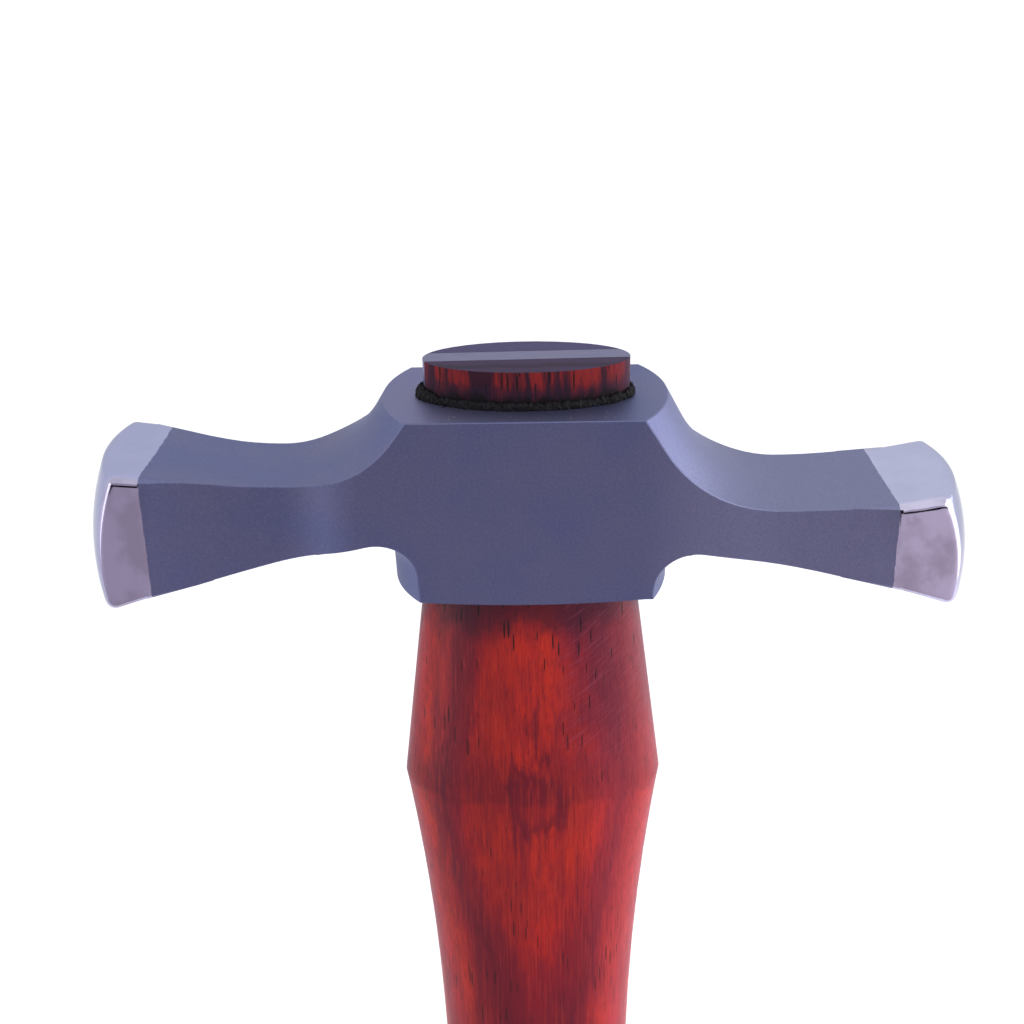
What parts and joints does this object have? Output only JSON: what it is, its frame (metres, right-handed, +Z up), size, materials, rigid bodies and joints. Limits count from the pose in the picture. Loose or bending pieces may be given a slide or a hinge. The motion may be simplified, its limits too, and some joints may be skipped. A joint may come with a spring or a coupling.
{
  "type": "raising hammer",
  "caption": "Silversmith's raising hammer: bead-blasted steel head with two polished rectangular faces, wedged onto an oval padauk handle with a ridge under the head.",
  "frame": {"origin": "centre of the flat end of the handle's butt", "axes": "+Z up the handle to the head, +X along the head to the lower, wider face, -Y out of the front cheek"},
  "size_m": [0.1096, 0.0286, 0.2804],
  "materials": {
    "satin_steel": "bead-blasted cast stainless steel, mirror polished at both striking faces",
    "padauk": "oiled padauk, red with wine-dark figure and open dark pores",
    "wedge_steel": "ground steel wedge, flush with the tenon's end",
    "dark_resin": "cured dark bedding resin, rough where it was squeezed out"
  },
  "bodies": {
    "root": {"head": "satin_steel", "handle": "padauk", "wedge": "wedge_steel", "eye_bedding": "dark_resin"}
  },
  "joints": []
}
